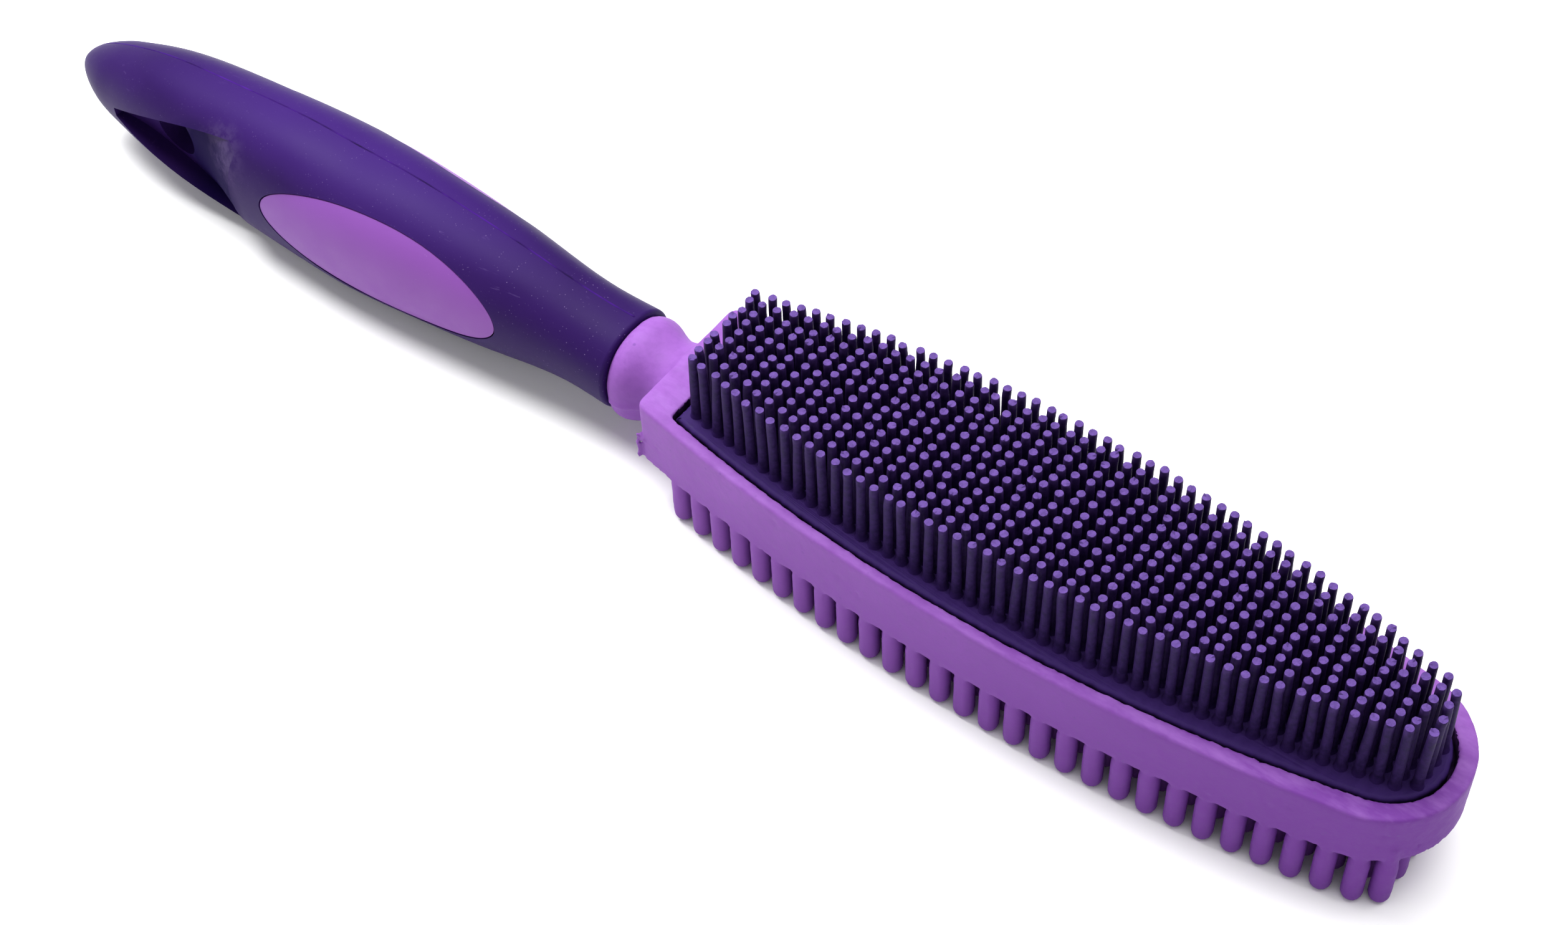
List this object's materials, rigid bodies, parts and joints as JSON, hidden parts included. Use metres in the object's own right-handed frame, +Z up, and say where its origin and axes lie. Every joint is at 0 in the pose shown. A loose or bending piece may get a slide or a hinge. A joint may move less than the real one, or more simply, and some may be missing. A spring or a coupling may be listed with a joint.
{
  "type": "curry comb",
  "caption": "Double-sided rubber grooming brush: leaf-shaped head with fine pins above and thick pins below, waisted neck, and a tall oval soft grip with side inlays and a hanging hole.",
  "frame": {"origin": "on the surface the brush lies on, under the middle of its length and width", "axes": "+X from the handle to the tip of the head, +Y to the left, +Z up, the way the fine pins stand"},
  "size_m": [0.2896, 0.0398, 0.0375],
  "materials": {
    "core_plastic": "plain moulded plastic, hidden inside the grip, neck and head",
    "grip_rubber": "dark violet soft-touch moulding, satin, with fine specks of dust and a parting line",
    "inlay_plastic": "smooth lilac moulding with a low sheen",
    "frame_rubber": "lilac moulded rubber, matt, with small nicks and flash along its edges",
    "pad_rubber": "dark violet moulded rubber, matt, with paler worn pin ends"
  },
  "bodies": {
    "root": {"stiffening_core": "core_plastic", "grip_sleeve": "grip_rubber", "oval_inlay_left": "inlay_plastic", "oval_inlay_right": "inlay_plastic", "head_frame": "frame_rubber", "fine_pin_pad": "pad_rubber"}
  },
  "joints": []
}
